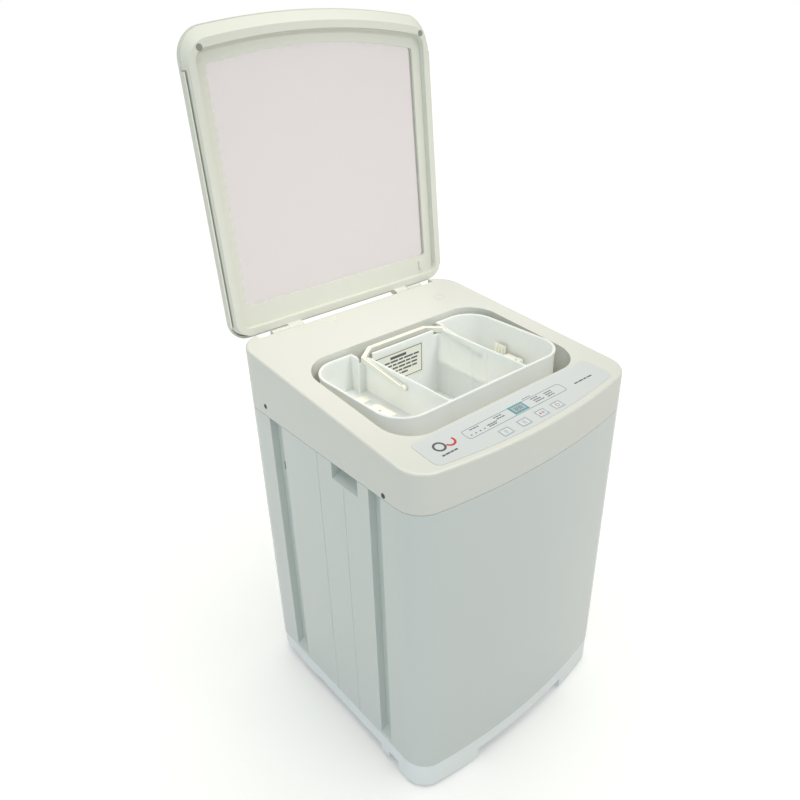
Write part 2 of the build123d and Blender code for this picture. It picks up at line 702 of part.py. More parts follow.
def tub_pulley():
    wheel = rod(0, DRUM_Y, 62, 74, PULLEY_RADIUS + 5)
    wheel -= rod(0, DRUM_Y, BELT_LOW - 0.4, BELT_HIGH + 0.4, 90) - rod(0, DRUM_Y, 50, 80, PULLEY_RADIUS)
    wheel -= rod(0, DRUM_Y, 67, 75, PULLEY_RADIUS - 6) - rod(0, DRUM_Y, 60, 76, 14)
    wheel -= rod(0, DRUM_Y, 60, 76, SHAFT_RADIUS)
    for index in range(5):
        wheel -= Pos(0, DRUM_Y, 0) * Rot(0, 0, 72 * index) * rod(35, 0, 60, 70, 11)
    return wheel


def clutch_housing():
    body = rod(0, DRUM_Y, 92, TUB_FLOOR - 3, 30) + rod(0, DRUM_Y, TUB_FLOOR - 11, TUB_FLOOR - 3, 47)
    body -= rod(0, DRUM_Y, 90, TUB_FLOOR, 12)
    for low, high in BEARINGS:
        body -= rod(0, DRUM_Y, low, high, 17)
    for index in range(3):
        body -= Pos(0, DRUM_Y, 0) * Rot(0, 0, 120 * index + 30) * rod(38, 0, 130, 160, 3)
    return body


BEARINGS = ((92.0, 101.0), (138.0, TUB_FLOOR - 3))


def drum_bearings():
    rings = []
    for low, high in BEARINGS:
        ring = rod(0, DRUM_Y, low, high, 17) - rod(0, DRUM_Y, low - 1, high + 1, SPIN_SHAFT_RADIUS + RUNNING_FIT)
        rings.append(ring)
    return rings


def shaft_seal():
    return rod(0, DRUM_Y, TUB_FLOOR, TUB_FLOOR + 8, 26) - rod(0, DRUM_Y, 140, 170, SPIN_SHAFT_RADIUS + RUNNING_FIT)


def tub_bracket():
    plate = block(-120, 120, DRUM_Y - 100, DRUM_Y + 110, TUB_FLOOR - 3, TUB_FLOOR)
    plate = fillet(plate.edges().filter_by(Axis.Z), 25)
    plate -= rod(0, DRUM_Y, 140, 155, 17)
    plate -= rod(*VALVE_PLACE, 140, 155, 16)
    return plate


def motor():
    can = rod(MOTOR_X, MOTOR_Y, 84, 138, 46)
    can = fillet(can.edges(), 6)
    can += rod(MOTOR_X, MOTOR_Y, 78, 86, 16) + rod(MOTOR_X, MOTOR_Y, 136, TUB_FLOOR - 3, 18)
    for index in range(4):
        foot = Pos(MOTOR_X, MOTOR_Y, 0) * Rot(0, 0, 90 * index + 45) * block(30, 44, -6, 6, 130, TUB_FLOOR - 3)
        can += foot
    return can - rod(MOTOR_X, MOTOR_Y, 70, 100, 5 + RUNNING_FIT)


def motor_pulley():
    wheel = rod(MOTOR_X, MOTOR_Y, 61, 75, MOTOR_PULLEY_RADIUS + 4)
    wheel -= rod(MOTOR_X, MOTOR_Y, BELT_LOW - 0.4, BELT_HIGH + 0.4, 40) - rod(MOTOR_X, MOTOR_Y, 50, 80, MOTOR_PULLEY_RADIUS)
    return wheel + rod(MOTOR_X, MOTOR_Y, 58, 99, 5)


def belt_face(gap):
    big = Pos(0, DRUM_Y) * Circle(PULLEY_RADIUS + gap)
    small = Pos(MOTOR_X, MOTOR_Y) * Circle(MOTOR_PULLEY_RADIUS + gap)
    return make_hull(big.edges() + small.edges())


def drive_belt():
    return slab(belt_face(4), BELT_LOW, BELT_HIGH) - slab(belt_face(0.3), BELT_LOW - 1, BELT_HIGH + 1)


CAPACITOR_PLACE = (-110.0, -90.0)


def capacitor():
    x, y = CAPACITOR_PLACE
    return rod(x, y, TRAY_FLOOR, TRAY_FLOOR + 62, 18) + rod(x, y, TRAY_FLOOR, TRAY_FLOOR + 68, 4)


DRAIN_X = 120.0
DRAIN_Z = 72.0
DRAIN_COLLAR = 14.0
DRAIN_RADIUS = 11.0
GLAND_X = -120.0
GLAND_Z = 65.0
GLAND_RADIUS = 8.0
VALVE_PLACE = (-85.0, 60.0)


def drain_valve():
    x, y = VALVE_PLACE
    neck = rod(x, y, 100, TUB_FLOOR + 4, 14)
    chamber = fillet(rod(x, y, 84, 112, 20).edges(), 3)
    motor_box = block(x - 55, x - 12, y - 11, y + 11, 92, 112)
    outlet = rod_y(x, y, y + 40, 98, 11)
    body = neck + chamber + motor_box + outlet
    return body - rod(x, y, 98, TUB_FLOOR + 5, 10) - rod_y(x, y, y + 41, 98, 8)


def drain_duct():
    """The hose inside the cabinet, from the valve to the outlet at the back."""
    x, y = VALVE_PLACE
    start = (x, y + 40, 98)
    end = (DRAIN_X, BACK_Y - 26, DRAIN_Z)
    route = FilletPolyline(start, (x, y + 75, 98), (x + 90, BACK_Y - 45, 80), (DRAIN_X, BACK_Y - 60, DRAIN_Z), end, radius=14)
    outer = sweep(Plane(origin=start, z_dir=(0, 1, 0)) * Circle(12), path=route)
    inner = sweep(Plane(origin=start, z_dir=(0, 1, 0)) * Circle(9.5), path=route)
    return outer - inner


def drain_outlet():
    spigot = rod_y(DRAIN_X, BACK_Y - 26, BACK_Y + 26, DRAIN_Z, DRAIN_RADIUS)
    spigot += rod_y(DRAIN_X, BACK_Y, BACK_Y + 3, DRAIN_Z, 18)
    spigot += rod_y(DRAIN_X, BACK_Y - WALL, BACK_Y, DRAIN_Z, DRAIN_COLLAR)
    return spigot - rod_y(DRAIN_X, BACK_Y - 30, BACK_Y + 30, DRAIN_Z, 8.5)


def cable_gland():
    body = rod_y(GLAND_X, BACK_Y - 10, BACK_Y, GLAND_Z, GLAND_RADIUS) + rod_y(GLAND_X, BACK_Y, BACK_Y + 5, GLAND_Z, 11)
    body += rod_y(GLAND_X, BACK_Y - 6, BACK_Y - WALL, GLAND_Z, 11)
    return body - rod_y(GLAND_X, BACK_Y - 11, BACK_Y + 6, GLAND_Z, 4)


def inlet_valve():
    body = block(INLET_X - 16, INLET_X + 16, 140, 176, INLET_Z - 18, INLET_Z + 14)
    body = fillet(body.edges().filter_by(Axis.Z), 4)
    coil = block(INLET_X + 16, INLET_X + 40, 146, 172, INLET_Z - 14, INLET_Z + 10)
    port = rod_y(INLET_X, 176, BACK_Y + 1, INLET_Z, INLET_THREAD + 0.8)
    port += rod_y(INLET_X, BACK_Y + 1, BACK_Y + 16, INLET_Z, INLET_THREAD)
    flange = rod_y(INLET_X, BACK_Y - COVER_WALL - 3, BACK_Y - COVER_WALL, INLET_Z, INLET_THREAD + 5)
    return body + coil + port + flange - rod_y(INLET_X, 170, BACK_Y + 20, INLET_Z, 8)


def fill_nozzle():
    x0, x1, z0, z1 = NOZZLE
    case = block(x0 + 0.3, x1 - 0.3, MOUTH_BACK, MOUTH_BACK + 24, z0 + 0.3, z1 - 0.3)
    case -= block(x0 + 3, x1 - 3, MOUTH_BACK - 1, MOUTH_BACK + 21, z0 + 2.3, z1 - 2.3)
    case += rod_y(0, MOUTH_BACK + 23, MOUTH_BACK + 44, (z0 + z1) / 2, 7)
    case -= rod_y(0, MOUTH_BACK + 15, MOUTH_BACK + 45, (z0 + z1) / 2, 3)
    for x in range(-24, 25, 12):
        case += block(x - 1, x + 1, MOUTH_BACK, MOUTH_BACK + 3, z0 + 1, z1 - 1)
    return case


def fill_hose():
    z = (NOZZLE[2] + NOZZLE[3]) / 2
    start = (0, MOUTH_BACK + 44, z)
    end = (INLET_X + 40, 159, INLET_Z)
    route = FilletPolyline(start, (0, MOUTH_BACK + 62, z), (INLET_X + 75, 159, INLET_Z), end, radius=10)
    outer = sweep(Plane(origin=start, z_dir=route % 0) * Circle(8), path=route)
    inner = sweep(Plane(origin=start, z_dir=route % 0) * Circle(5.5), path=route)
    return outer - inner


def pressure_switch():
    can = on_deck(120, 120, -COVER_WALL - 9) * Cylinder(20, 18)
    return can + on_deck(120, 120, -COVER_WALL - 22) * Cylinder(3, 10)


def suspension_hangers():
    brackets = []
    for x, y in RODS:
        plate = rod(x, y, 486, 490, 14) - rod(x, y, 480, 495, 3.3)
        brackets += both(plate + corner_web(x, y))
    return brackets


def corner_web(x, y):
    """A web from the hanger plate to the cabinet's corner wall."""
    far_x = -HALF_WIDTH + WALL + 0.8
    return block(far_x, x - 8, y - 6, y + 8, 486, 490)


def suspension_rods():
    rods = []
    for x, y in RODS:
        piece = rod(x, y, CUP_LOW - 8, 494, 3) + rod(x, y, 490, 498, 8) + rod(x, y, CUP_LOW - 10, CUP_LOW - 4, 9)
        rods += both(piece)
    return rods


def damper_cups():
    cups = []
    for x, y in RODS:
        cup = rod(x, y, CUP_LOW, CUP_HIGH, CUP_RADIUS) - rod(x, y, CUP_LOW - 1, CUP_HIGH - 4, CUP_RADIUS - 2)
        cups += both(cup - rod(x, y, CUP_LOW - 2, CUP_HIGH + 2, 3.3))
    return cups


def suspension_springs():
    springs = []
    for x, y in RODS:
        route = Helix(pitch=7, height=35, radius=8)
        wire = sweep(Plane(origin=route @ 0, z_dir=route % 0) * Circle(1.1), path=route, is_frenet=True)
        springs += both(Pos(x, y, CUP_LOW - 2.7) * wire)
    return springs


save("cabinet", cabinet())
save("rear_cover", rear_cover())
save("rear_cover_screws", *rear_screws())
save("base_tray", base_tray())
save("rubber_feet", *rubber_feet())
save("top_cover", top_cover())
save("cover_screws", *cover_screws())
save("hinge_pins", *hinge_pins())
save("control_overlay", control_overlay())
for name, x in KEYS.items():
    save(name, key(x))
save("display_window", display_window())
save("control_board", control_board())
save("board_components", *board_components())
save("lid_shell", lid_shell())
save("lid_frame", lid_frame())
save("lid_window", lid_window())
save("lid_bumpers", *lid_bumpers())
save("lid_magnet", lid_magnet())
save("lid_switch", lid_switch())
save("transit_basket", transit_basket())
save("transit_handle", transit_handle())
save("basket_label", basket_label())
save("basket_clips", *basket_clips())
save("outer_tub", outer_tub())
save("tub_cover", tub_cover())
save("tub_bracket", tub_bracket())
save("spin_basket", spin_basket())
save("balance_ring", balance_ring())
save("lint_filter", lint_filter())
save("drum_hub", drum_hub())
save("pulsator", pulsator())
save("pulsator_screw", pulsator_screw())
save("pulsator_shaft", pulsator_shaft())
save("tub_pulley", tub_pulley())
save("clutch_housing", clutch_housing())
save("drum_bearings", *drum_bearings())
save("shaft_seal", shaft_seal())
save("motor", motor())
save("motor_pulley", motor_pulley())
save("drive_belt", drive_belt())
save("capacitor", capacitor())
save("drain_valve", drain_valve())
save("drain_duct", drain_duct())
save("drain_outlet", drain_outlet())
save("cable_gland", cable_gland())
save("inlet_valve", inlet_valve())
save("fill_nozzle", fill_nozzle())
save("fill_hose", fill_hose())
save("pressure_switch", pressure_switch())
save("suspension_hangers", *suspension_hangers())
save("suspension_rods", *suspension_rods())
save("damper_cups", *damper_cups())
save("suspension_springs", *suspension_springs())
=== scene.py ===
import math
import bmesh
import bpy
from mathutils import Matrix, Vector


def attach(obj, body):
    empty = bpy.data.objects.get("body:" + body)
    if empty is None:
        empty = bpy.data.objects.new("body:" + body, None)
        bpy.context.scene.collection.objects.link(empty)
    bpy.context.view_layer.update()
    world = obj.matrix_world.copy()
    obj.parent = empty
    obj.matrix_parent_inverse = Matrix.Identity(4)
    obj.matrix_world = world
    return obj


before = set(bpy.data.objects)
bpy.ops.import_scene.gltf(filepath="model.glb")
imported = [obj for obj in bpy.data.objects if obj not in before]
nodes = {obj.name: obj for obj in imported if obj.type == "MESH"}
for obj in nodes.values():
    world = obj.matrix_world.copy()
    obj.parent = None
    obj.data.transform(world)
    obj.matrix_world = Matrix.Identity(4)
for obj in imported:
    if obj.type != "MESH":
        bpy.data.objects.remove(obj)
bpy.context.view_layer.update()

midDeck = Vector((0, -0.2047, 0.5586))  # front of the deck, in the row frame
deckSlope = 0.0972
deckTilt = math.atan(deckSlope)
print("frame loaded:", len(nodes), "nodes")


# Shared shader groups

def addSocket(tree, name, kind, value=None, out=False):
    socket = tree.interface.new_socket(name=name, in_out="OUTPUT" if out else "INPUT", socket_type=kind)
    if value is not None:
        socket.default_value = value
    return socket


def makeMouldedSkin():
    tree = bpy.data.node_groups.new("mouldedSkin", "ShaderNodeTree")
    addSocket(tree, "Place", "NodeSocketVector")
    addSocket(tree, "Colour", "NodeSocketColor", (0.8, 0.8, 0.8, 1))
    addSocket(tree, "Shade", "NodeSocketColor", (0.7, 0.7, 0.7, 1))
    addSocket(tree, "Mottle", "NodeSocketFloat", 0.3)
    addSocket(tree, "MottleScale", "NodeSocketFloat", 6)
    addSocket(tree, "Rough", "NodeSocketFloat", 0.3)
    addSocket(tree, "RoughSpread", "NodeSocketFloat", 0.08)
    addSocket(tree, "GrainScale", "NodeSocketFloat", 900)
    addSocket(tree, "GrainHeight", "NodeSocketFloat", 0.00002)
    addSocket(tree, "Colour", "NodeSocketColor", out=True)
    addSocket(tree, "Rough", "NodeSocketFloat", out=True)
    addSocket(tree, "Normal", "NodeSocketVector", out=True)
    nodesIn = tree.nodes
    start = nodesIn.new("NodeGroupInput")
    end = nodesIn.new("NodeGroupOutput")
    cloud = nodesIn.new("ShaderNodeTexNoise")
    cloud.inputs["Detail"].default_value = 4
    cloud.inputs["Roughness"].default_value = 0.55
    grain = nodesIn.new("ShaderNodeTexNoise")
    grain.inputs["Detail"].default_value = 2
    wave = nodesIn.new("ShaderNodeTexNoise")
    wave.inputs["Scale"].default_value = 14
    wave.inputs["Detail"].default_value = 1
    amount = nodesIn.new("ShaderNodeMath")
    amount.operation = "MULTIPLY"
    blendIn = nodesIn.new("ShaderNodeMix")
    blendIn.data_type = "RGBA"
    spread = nodesIn.new("ShaderNodeMath")
    spread.operation = "MULTIPLY_ADD"
    shift = nodesIn.new("ShaderNodeMath")
    shift.operation = "SUBTRACT"
    shift.inputs[1].default_value = 0.5
    height = nodesIn.new("ShaderNodeMath")
    height.operation = "MULTIPLY_ADD"
    height.inputs[1].default_value = 0.35
    bump = nodesIn.new("ShaderNodeBump")
    bump.inputs["Strength"].default_value = 1
    link = tree.links.new
    for texture, scale in ((cloud, "MottleScale"), (grain, "GrainScale")):
        link(start.outputs["Place"], texture.inputs["Vector"])
        link(start.outputs[scale], texture.inputs["Scale"])
    link(start.outputs["Place"], wave.inputs["Vector"])
    link(cloud.outputs["Fac"], amount.inputs[0])
    link(start.outputs["Mottle"], amount.inputs[1])
    link(amount.outputs[0], blendIn.inputs["Factor"])
    link(start.outputs["Colour"], blendIn.inputs["A"])
    link(start.outputs["Shade"], blendIn.inputs["B"])
    link(cloud.outputs["Fac"], shift.inputs[0])
    link(shift.outputs[0], spread.inputs[0])
    link(start.outputs["RoughSpread"], spread.inputs[1])
    link(start.outputs["Rough"], spread.inputs[2])
    link(grain.outputs["Fac"], height.inputs[0])
    link(wave.outputs["Fac"], height.inputs[2])
    link(height.outputs[0], bump.inputs["Height"])
    link(start.outputs["GrainHeight"], bump.inputs["Distance"])
    results = {"Colour": blendIn.outputs["Result"], "Rough": spread.outputs[0],
               "Normal": bump.outputs["Normal"]}
    for name, result in results.items():
        link(result, end.inputs[name])
    return tree


mouldedSkin = makeMouldedSkin()
shadeDepth = 0.93  # the darker tone of a finish's mottling


def makeFinish(name, look):
    material = bpy.data.materials.new(name)
    material.use_nodes = True
    tree = material.node_tree
    shader = tree.nodes["Principled BSDF"]
    place = tree.nodes.new("ShaderNodeTexCoord")
    skin = tree.nodes.new("ShaderNodeGroup")
    skin.node_tree = mouldedSkin
    tree.links.new(place.outputs["Object"], skin.inputs["Place"])
    skin.inputs["Colour"].default_value = (*look["colour"], 1)
    skin.inputs["Shade"].default_value = (*[c * shadeDepth for c in look["colour"]], 1)
    for key, socket in (("mottle", "Mottle"), ("rough", "Rough"), ("roughSpread", "RoughSpread"),
                        ("grainScale", "GrainScale"), ("grainHeight", "GrainHeight")):
        if key in look:
            skin.inputs[socket].default_value = look[key]
    tree.links.new(skin.outputs["Colour"], shader.inputs["Base Color"])
    tree.links.new(skin.outputs["Rough"], shader.inputs["Roughness"])
    tree.links.new(skin.outputs["Normal"], shader.inputs["Normal"])
    # the glow setting is painted light: an emission on a part that is no lamp
    for key, socket in (("metal", "Metallic"), ("coat", "Coat Weight"), ("coatRough", "Coat Roughness"),
                        ("clear", "Transmission Weight"), ("ior", "IOR"), ("soft", "Subsurface Weight"),
                        ("softDepth", "Subsurface Scale"), ("paintedGlow", "Emission Strength")):
        if key in look:
            shader.inputs[socket].default_value = look[key]
    if "soft" in look:
        shader.inputs["Subsurface Radius"].default_value = (1.0, 0.9, 0.8)
    if "paintedGlowColour" in look:
        shader.inputs["Emission Color"].default_value = (*look["paintedGlowColour"], 1)
    material.diffuse_color = (*look["colour"], 1)
    return material


finishLooks = {
    # the deck and lid are the same white plastic as the cabinet; their lighter, warmer colour is painted
    # warm light from above
    "deckWarmLitWhite": {"colour": (0.755, 0.755, 0.70), "mottle": 0.3, "rough": 0.26, "coat": 0.25,
                  "coatRough": 0.12, "grainScale": 1400, "grainHeight": 0.00003},
    "lidWarmLitWhite": {"colour": (0.78, 0.78, 0.70), "mottle": 0.3, "rough": 0.34, "grainScale": 1400,
                 "grainHeight": 0.00003},
    # the cabinet is the same white plastic as the deck and lid; its darker, cooler colour is painted shade
    # for its front and sides
    "cabinetGlossShaded": {"colour": (0.665, 0.705, 0.68), "mottle": 0.2, "rough": 0.16, "coat": 0.6,
                     "coatRough": 0.06, "grainScale": 120, "grainHeight": 0.00003},
    "baseSatin": {"colour": (0.92, 0.95, 0.95), "mottle": 0.4, "rough": 0.38, "grainScale": 900,
                  "grainHeight": 0.00004},
    # the basket's milky, see-through plastic is its own colour; its faint glow is painted light that
    # brightens it in the shaded mouth of the deck
    "basketMilkAndGlow": {"colour": (0.90, 0.92, 0.885), "mottle": 0.3, "rough": 0.3, "soft": 0.8,
                   "softDepth": 0.008, "paintedGlow": 0.035, "paintedGlowColour": (0.97, 1.0, 0.92),
                   "grainScale": 300, "grainHeight": 0.00003},
    "handleCream": {"colour": (0.95, 0.94, 0.85), "mottle": 0.2, "rough": 0.34, "grainScale": 1000,
                    "grainHeight": 0.00003},
    "windowSheet": {"colour": (0.76, 0.72, 0.725), "mottle": 0.0, "rough": 0.1, "clear": 0.82, "ior": 1.2,
                    "grainScale": 6, "grainHeight": 0.00001},
    "overlayFilm": {"colour": (0.66, 0.69, 0.69), "mottle": 0.2, "rough": 0.3, "grainScale": 2500,
                    "grainHeight": 0.00002},
    "keyFilm": {"colour": (0.70, 0.73, 0.74), "mottle": 0.2, "rough": 0.28, "grainScale": 2500,
                "grainHeight": 0.00002},
    "displayTeal": {"colour": (0.16, 0.36, 0.42), "mottle": 0.2, "rough": 0.12, "coat": 0.8,
                    "coatRough": 0.04},
    "labelPaper": {"colour": (0.86, 0.86, 0.79), "mottle": 0.3, "rough": 0.5, "grainScale": 1800,
                   "grainHeight": 0.00004},
    "printInk": {"colour": (0.10, 0.11, 0.12), "mottle": 0.4, "rough": 0.45},
    "printRed": {"colour": (0.55, 0.05, 0.05), "mottle": 0.3, "rough": 0.4},
    "printTeal": {"colour": (0.10, 0.26, 0.30), "mottle": 0.3, "rough": 0.4},
    "printGrey": {"colour": (0.36, 0.42, 0.44), "mottle": 0.3, "rough": 0.4},
    "printPale": {"colour": (0.44, 0.53, 0.53), "mottle": 0.3, "rough": 0.3},
    # the cover screws are painted near-black as painted shade, standing for the dark inside the holes they
    # sit in
    "holeShadeBlack": {"colour": (0.10, 0.10, 0.10), "mottle": 0.3, "rough": 0.6},
    "rubberGrey": {"colour": (0.30, 0.31, 0.27), "mottle": 0.5, "rough": 0.7, "grainScale": 700,
                   "grainHeight": 0.0001},
    "rubberBlack": {"colour": (0.03, 0.03, 0.03), "mottle": 0.5, "rough": 0.75, "grainScale": 700,
                    "grainHeight": 0.0001},
    "brightSteel": {"colour": (0.62, 0.63, 0.64), "metal": 1.0, "mottle": 0.4, "rough": 0.28,
                    "roughSpread": 0.15, "grainScale": 500, "grainHeight": 0.00003},
    "castAlloy": {"colour": (0.58, 0.59, 0.60), "metal": 1.0, "mottle": 0.6, "rough": 0.5,
                  "grainScale": 600, "grainHeight": 0.0001},
    "tubGrey": {"colour": (0.60, 0.64, 0.65), "mottle": 0.4, "rough": 0.45, "grainScale": 500,
                "grainHeight": 0.00005},
    "blackPlastic": {"colour": (0.04, 0.04, 0.04), "mottle": 0.4, "rough": 0.5, "grainScale": 900,
                     "grainHeight": 0.00005},
    "boardGreen": {"colour": (0.05, 0.22, 0.12), "mottle": 0.5, "rough": 0.4, "coat": 0.3},
    "motorPaint": {"colour": (0.18, 0.19, 0.20), "mottle": 0.5, "rough": 0.45, "grainScale": 400,
                   "grainHeight": 0.00008},
}
finishes = {name: makeFinish(name, look) for name, look in finishLooks.items()}

nodeFinishes = {
    "deckWarmLitWhite": ["top_cover", "pressure_switch", "lint_filter"],
    "lidWarmLitWhite": ["lid_shell", "lid_frame", "lid_magnet"],
    "cabinetGlossShaded": ["cabinet"],
    "baseSatin": ["base_tray", "rear_cover"],
    "basketMilkAndGlow": ["transit_basket"],
    "handleCream": ["transit_handle", "basket_clips"],
    "windowSheet": ["lid_window"],
    "overlayFilm": ["control_overlay"],
    "keyFilm": ["program_key", "water_level_key", "start_pause_key", "power_key"],
    "displayTeal": ["display_window"],
    "labelPaper": ["basket_label"],
    "rubberGrey": ["lid_bumpers", "drain_duct", "fill_hose"],
    "rubberBlack": ["rubber_feet", "shaft_seal", "drive_belt"],
    "holeShadeBlack": ["cover_screws"],
    "brightSteel": ["rear_cover_screws", "hinge_pins", "spin_basket", "drum_hub", "pulsator_screw",
                    "pulsator_shaft", "drum_bearings", "suspension_rods", "suspension_springs"],
    "castAlloy": ["tub_pulley", "motor_pulley", "clutch_housing", "capacitor"],
    "tubGrey": ["outer_tub", "tub_cover", "balance_ring", "pulsator", "drain_valve", "inlet_valve",
                "fill_nozzle"],
    "blackPlastic": ["lid_switch", "drain_outlet", "cable_gland", "damper_cups", "board_components"],
    "boardGreen": ["control_board"],
    "motorPaint": ["motor", "tub_bracket", "suspension_hangers"],
}
for finishName, names in nodeFinishes.items():
    for name in names:
        slots = nodes[name].data.materials
        for index in range(len(slots)):
            slots[index] = finishes[finishName]
        if not len(slots):
            slots.append(finishes[finishName])
print("finishes set on", sum(len(names) for names in nodeFinishes.values()), "nodes")


# Printed marks, laid on the film as thin raised ink

def deckPlace(x, y, height):
    # a place on the deck's plane; x and y in metres, height square to the deck
    onPlane = Matrix.Translation((x, y, midDeck.z + (y - midDeck.y) * deckSlope))
    return onPlane @ Matrix.Rotation(deckTilt, 4, "X") @ Matrix.Translation((0, 0, height))


def newPiece(name, mesh, finishName, body):
    mesh.materials.append(finishes[finishName])
    piece = bpy.data.objects.new(name, mesh)
    bpy.context.scene.collection.objects.link(piece)
    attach(piece, body)
    return piece


def addBar(bm, place, x, y, width, depth, thick):
    made = bmesh.ops.create_cube(bm, size=1)["verts"]
    bmesh.ops.scale(bm, vec=(width, depth, thick), verts=made)
    bmesh.ops.translate(bm, vec=(x, y, thick / 2), verts=made)
    bmesh.ops.transform(bm, matrix=place, verts=made)
    return made


def addDisc(bm, place, x, y, radius, thick, segments=32):
    made = bmesh.ops.create_cone(bm, cap_ends=True, segments=segments, radius1=radius, radius2=radius,
                                 depth=thick)["verts"]
    bmesh.ops.translate(bm, vec=(x, y, thick / 2), verts=made)
    bmesh.ops.transform(bm, matrix=place, verts=made)
    return made


def addRing(bm, place, x, y, radius, line, thick, start=0.0, sweep=2 * math.pi, steps=40):
    corners = ((-line / 2, 0), (line / 2, 0), (line / 2, thick), (-line / 2, thick))
    profile = [bm.verts.new((radius + dx, 0, dz)) for dx, dz in corners]
    face = bm.faces.new(profile)
    before = set(bm.verts) - set(profile)
    full = abs(sweep - 2 * math.pi) < 1e-6
    bmesh.ops.rotate(bm, cent=(0, 0, 0), matrix=Matrix.Rotation(start, 3, "Z"), verts=profile)
    geometry = [face] if not full else [e for e in face.edges]
    if full:
        bmesh.ops.delete(bm, geom=[face], context="FACES_ONLY")
    bmesh.ops.spin(bm, geom=geometry, cent=(0, 0, 0), axis=(0, 0, 1), angle=sweep, steps=steps,
                   use_merge=full)
    made = [v for v in bm.verts if v not in before]
    bmesh.ops.translate(bm, vec=(x, y, 0), verts=made)
    bmesh.ops.transform(bm, matrix=place, verts=made)
    return made


def closeMesh(bm, name):
    bmesh.ops.remove_doubles(bm, verts=bm.verts, dist=1e-7)
    bmesh.ops.recalc_face_normals(bm, faces=bm.faces)
    mesh = bpy.data.meshes.new(name)
    bm.to_mesh(mesh)
    bm.free()
    return mesh


ink = {"lift": 0.00061, "thick": 0.00012}
panelBox = {"outline": (-0.098, 0.082, -0.1897, -0.1727), "corner": 0.004, "line": 0.0007}
keyBoxes = {"program_key": (-0.0525, "printGrey"), "water_level_key": (-0.020, "printGrey"),
            "start_pause_key": (0.0127, "printRed"), "power_key": (0.0425, "printRed")}
keyPrint = {"y": -0.2047, "lift": 0.00066, "half": (0.0076, 0.0056), "corner": 0.0015, "line": 0.0006}


def addOutline(bm, x0, x1, y0, y1, r, lift, line):
    # a rounded frame of thin ink bars with quarter rings at its corners
    def bar(x, y, width, depth):
        addBar(bm, deckPlace(x, y, lift), 0, 0, width, depth, ink["thick"])
    bar((x0 + x1) / 2, y0, x1 - x0 - 2 * r, line)
    bar((x0 + x1) / 2, y1, x1 - x0 - 2 * r, line)
    bar(x0, (y0 + y1) / 2, line, y1 - y0 - 2 * r)
    bar(x1, (y0 + y1) / 2, line, y1 - y0 - 2 * r)
    quarter = math.pi / 2
    rounds = ((x1 - r, y1 - r, 0), (x0 + r, y1 - r, 1), (x0 + r, y0 + r, 2), (x1 - r, y0 + r, 3))
    for cx, cy, turn in rounds:
        addRing(bm, deckPlace(cx, cy, lift), 0, 0, r, line, ink["thick"], turn * quarter, quarter, 6)


def addMarks(bm, marks, lift=None):
    # short plain strokes that stand for small print: x, y, width and depth in millimetres
    for x, y, width, depth in marks:
        addBar(bm, deckPlace(x / 1000, y / 1000, lift or ink["lift"]), 0, 0, width / 1000, depth / 1000,
               ink["thick"])


def strokeRow(x, y, lengths, gap=0.9, depth=1.5):
    row = []
    for length in lengths:
        row.append((x + length / 2, y, length, depth))
        x += length + gap
    return row


emblem = {"x": -0.137, "y": -0.178, "radius": 0.0072, "line": 0.0029, "row": -0.1930,
          "arcShift": (0.0165, 0.0008), "arcStart": 200, "arcSweep": 190}


def buildEmblem():
    # a plain made-up sign: a dark ring, a red arc beside it and a row of strokes below
    x, y, radius = emblem["x"], emblem["y"], emblem["radius"]
    bm = bmesh.new()
    addRing(bm, deckPlace(x, y, ink["lift"]), 0, 0, radius, emblem["line"], ink["thick"])
    addMarks(bm, strokeRow(x * 1000 - 9, emblem["row"] * 1000, (4.4, 6.5, 5.2, 5), depth=2.4))
    newPiece("emblemDark", closeMesh(bm, "emblemDark"), "printInk", "body")
    bm = bmesh.new()
    place = deckPlace(x + emblem["arcShift"][0], y + emblem["arcShift"][1], ink["lift"])
    addRing(bm, place, 0, 0, radius, emblem["line"], ink["thick"],
            math.radians(emblem["arcStart"]), math.radians(emblem["arcSweep"]), 18)
    newPiece("emblemRed", closeMesh(bm, "emblemRed"), "printRed", "body")


panelPrint = {
    # x, y and the stroke lengths of each row, in millimetres
    "rows": ((-86, -176.2, (4, 6, 3)), (-62, -182.4, (5, 3, 4, 2)), (-61, -185.4, (3, 5, 3)),
             (-45, -176.2, (3, 5, 4)), (-43, -180.2, (4, 3, 5)),
             (24, -176.2, (4, 3, 4)), (25, -180.2, (5, 4, 3)), (25, -184.0, (3, 4, 3, 4)),
             (48, -177.4, (3, 5, 4)), (48, -181.2, (4, 4, 3)), (48, -185.0, (5, 3, 3))),
    "smallRow": (15, -169.6, (5, 4, 4)), "smallDepth": 0.9,
    "wideRow": (101, -186.5, (7, 9, 6, 9)), "wideGap": 1.6, "wideDepth": 2.2,
    "dots": (-92, -84.5, -77, -69.5), "dotRow": -184.6, "dotLength": 2.2, "dotDepth": 1.6,
}


def buildPanelPrint():
    bm = bmesh.new()
    addOutline(bm, *panelBox["outline"], panelBox["corner"], ink["lift"], panelBox["line"])
    newPiece("panelOutline", closeMesh(bm, "panelOutline"), "printTeal", "body")
    bm = bmesh.new()
    rows = []
    for x, y, lengths in panelPrint["rows"]:
        rows += strokeRow(x, y, lengths)
    rows += strokeRow(*panelPrint["smallRow"], depth=panelPrint["smallDepth"])
    rows += strokeRow(*panelPrint["wideRow"], gap=panelPrint["wideGap"], depth=panelPrint["wideDepth"])
    for x in panelPrint["dots"]:
        rows += strokeRow(x, panelPrint["dotRow"], (panelPrint["dotLength"],), depth=panelPrint["dotDepth"])
    addMarks(bm, rows)
    newPiece("panelMarks", closeMesh(bm, "panelMarks"), "printInk", "body")
    buildEmblem()


